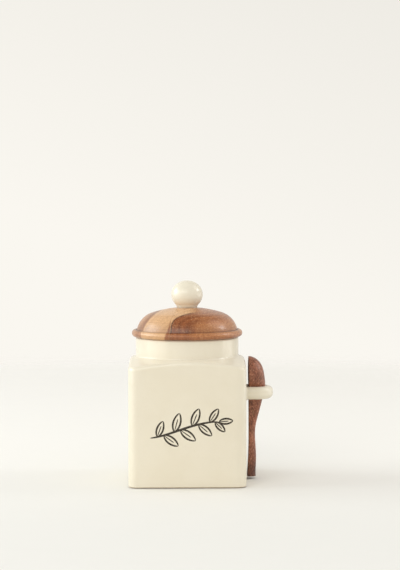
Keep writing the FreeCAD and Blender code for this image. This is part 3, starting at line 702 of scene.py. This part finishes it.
def add_stroke(mesh, points, width, thin_share):
    """A low rounded ridge of paint along a curve, closed underneath, with pointed round ends."""
    corners = len(STROKE_SECTION)
    rings = []
    for step in range(1, STROKE_STEPS):
        share = step / STROKE_STEPS
        place, heading = bezier(points, share)
        across = Vector((-heading.y, heading.x))
        end = 1 - abs(2 * share - 1) ** STROKE_END_POWER
        swell = thin_share + (1 - thin_share) * math.sin(math.pi * share)
        half = width / 2 * swell * math.sqrt(end)
        ring = [paint_vert(mesh, place + half * out * across, rise) for out, rise in STROKE_SECTION]
        rings.append(ring)
    for near, far in zip(rings, rings[1:]):
        for k in range(corners - 1):
            mesh.faces.new((near[k], near[k + 1], far[k + 1], far[k]))
        mesh.faces.new((near[-1], near[0], far[0], far[-1]))
    for ring, share in ((rings[0], 0.0), (rings[-1], 1.0)):
        tip = paint_vert(mesh, bezier(points, share)[0], 0.0)
        for k in range(corners):
            face = (tip, ring[k], ring[(k + 1) % corners])
            mesh.faces.new(face if share else face[::-1])


def paint_vert(mesh, place, rise):
    """A vertex of paint on the front face; rise is its share of the paint's height."""
    x = SPRIG_CENTRE_MM[0] + place.x
    z = SPRIG_CENTRE_MM[1] + place.y
    return mesh.verts.new((x * MM, (FRONT_FACE_MM - rise * PAINT_HEIGHT_MM) * MM, z * MM))


def sprig():
    """A brushed leaf sprig in dark slip on the front face."""
    mesh = bmesh.new()
    for points, width, thin_share in sprig_strokes():
        add_stroke(mesh, points, width, thin_share)
    bmesh.ops.recalc_face_normals(mesh, faces=mesh.faces)
    data = bpy.data.meshes.new("front_sprig")
    mesh.to_mesh(data)
    mesh.free()
    for face in data.polygons:
        face.use_smooth = True
    piece = bpy.data.objects.new("front_sprig", data)
    bpy.context.collection.objects.link(piece)
    data.materials.append(slip())
    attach(piece, "jar")


def floor():
    """A round pale floor whose edge fades into the backdrop."""
    bpy.ops.mesh.primitive_circle_add(vertices=FLOOR_SIDES, radius=FLOOR_RADIUS, fill_type="TRIFAN")
    disc = bpy.context.object
    disc.name = "floor"
    g = Graph(bpy.data.materials.new("floor"))
    place = g.place()
    x, y, _ = g.split(place)
    grain = g.noise(place, 0.05, detail=3.0)
    # Painted light: the floor's colour darkens at the front and lightens towards the back
    sweep = g.mix(g.fade(y, *[end / MM for end in FLOOR_SWEEP]), FLOOR_NEAR, FLOOR_FAR)
    g.finish(
        Base_Color=g.mix(grain, sweep, FLOOR_SPECKLE, blend="MULTIPLY"),
        Roughness=0.7,
        Specular_IOR_Level=0.2,
        Alpha=g.fade(g.radius(x, y), FLOOR_RADIUS / MM, FLOOR_FADE_START / MM),
    )
    disc.data.materials.append(g.owner)


def area_light(name, place, size, power, colour, lights):
    """A rectangular lamp; one that doesn't light surfaces only shows in gloss."""
    light = bpy.data.lights.new(name, "AREA")
    light.shape = "RECTANGLE"
    light.size, light.size_y = size
    light.energy = power
    light.color = colour
    lamp = bpy.data.objects.new(name, light)
    lamp.visible_diffuse = lights
    bpy.context.collection.objects.link(lamp)
    aim = Vector(AIM) - Vector(place)
    turn = aim.to_track_quat("-Z", "Y").to_matrix().to_4x4()
    lamp.matrix_world = Matrix.Translation(place) @ turn


def world():
    """Even soft light, with the pale backdrop and a dim ceiling for the camera and reflections."""
    sky = bpy.data.worlds.new("studio")
    g = Graph(sky)
    light = g.tree.nodes["Background"]
    g.put(light.inputs["Color"], WORLD_COLOUR)
    across, _, height = g.split(g.node("ShaderNodeTexCoord").outputs["Generated"])
    low, overhead = WORLD_STRENGTH
    g.put(light.inputs["Strength"], g.fade(height, *WORLD_RISE, to_low=low, to_high=overhead))
    # Painted shade on the backdrop: darker high up and to the right
    distance = g.math("MULTIPLY_ADD", across, BACKDROP_SLOPE[0], BACKDROP_START)
    distance = g.math("MULTIPLY_ADD", height, BACKDROP_SLOPE[1], distance)
    wall = g.ramp(distance, (0.0, BACKDROP_NEAR), (1.0, BACKDROP_FAR))
    shown = g.mix(g.fade(height, *CEILING_RISE), wall, CEILING_COLOUR)
    backdrop = g.node("ShaderNodeBackground", {"Color": shown})
    rays = g.node("ShaderNodeLightPath")
    seen = rays.outputs["Is Camera Ray"]
    for ray in ("Is Glossy Ray", "Is Transmission Ray"):
        seen = g.math("MAXIMUM", seen, rays.outputs[ray])
    mixed = g.node("ShaderNodeMixShader", {0: seen, 1: light.outputs[0], 2: backdrop.outputs[0]})
    g.put(g.tree.nodes["World Output"].inputs["Surface"], mixed.outputs[0])
    bpy.context.scene.world = sky


def camera():
    """The photograph's camera: nearly level, a little above the lid, rolled a touch."""
    lens = bpy.data.cameras.new("camera")
    lens.sensor_width = SENSOR_MM
    lens.lens = FOCAL_PX * SENSOR_MM / FRAME_HEIGHT_PX
    lens.shift_y = (HORIZON_PX - FRAME_HEIGHT_PX / 2) / FRAME_HEIGHT_PX
    seat = bpy.data.objects.new("camera", lens)
    bpy.context.collection.objects.link(seat)
    seat.matrix_world = (
        Matrix.Translation((0, -CAMERA_DISTANCE, CAMERA_HEIGHT))
        @ Matrix.Rotation(-CAMERA_YAW, 4, "Z")
        @ Matrix.Rotation(math.radians(90), 4, "X")
        @ Matrix.Rotation(-CAMERA_ROLL, 4, "Z")
    )
    bpy.context.scene.camera = seat


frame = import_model()
dress(frame["nodes"])
sprig()
floor()
for lamp in LAMPS:
    area_light(*lamp)
world()
camera()
bpy.context.scene.view_settings.view_transform = "Standard"
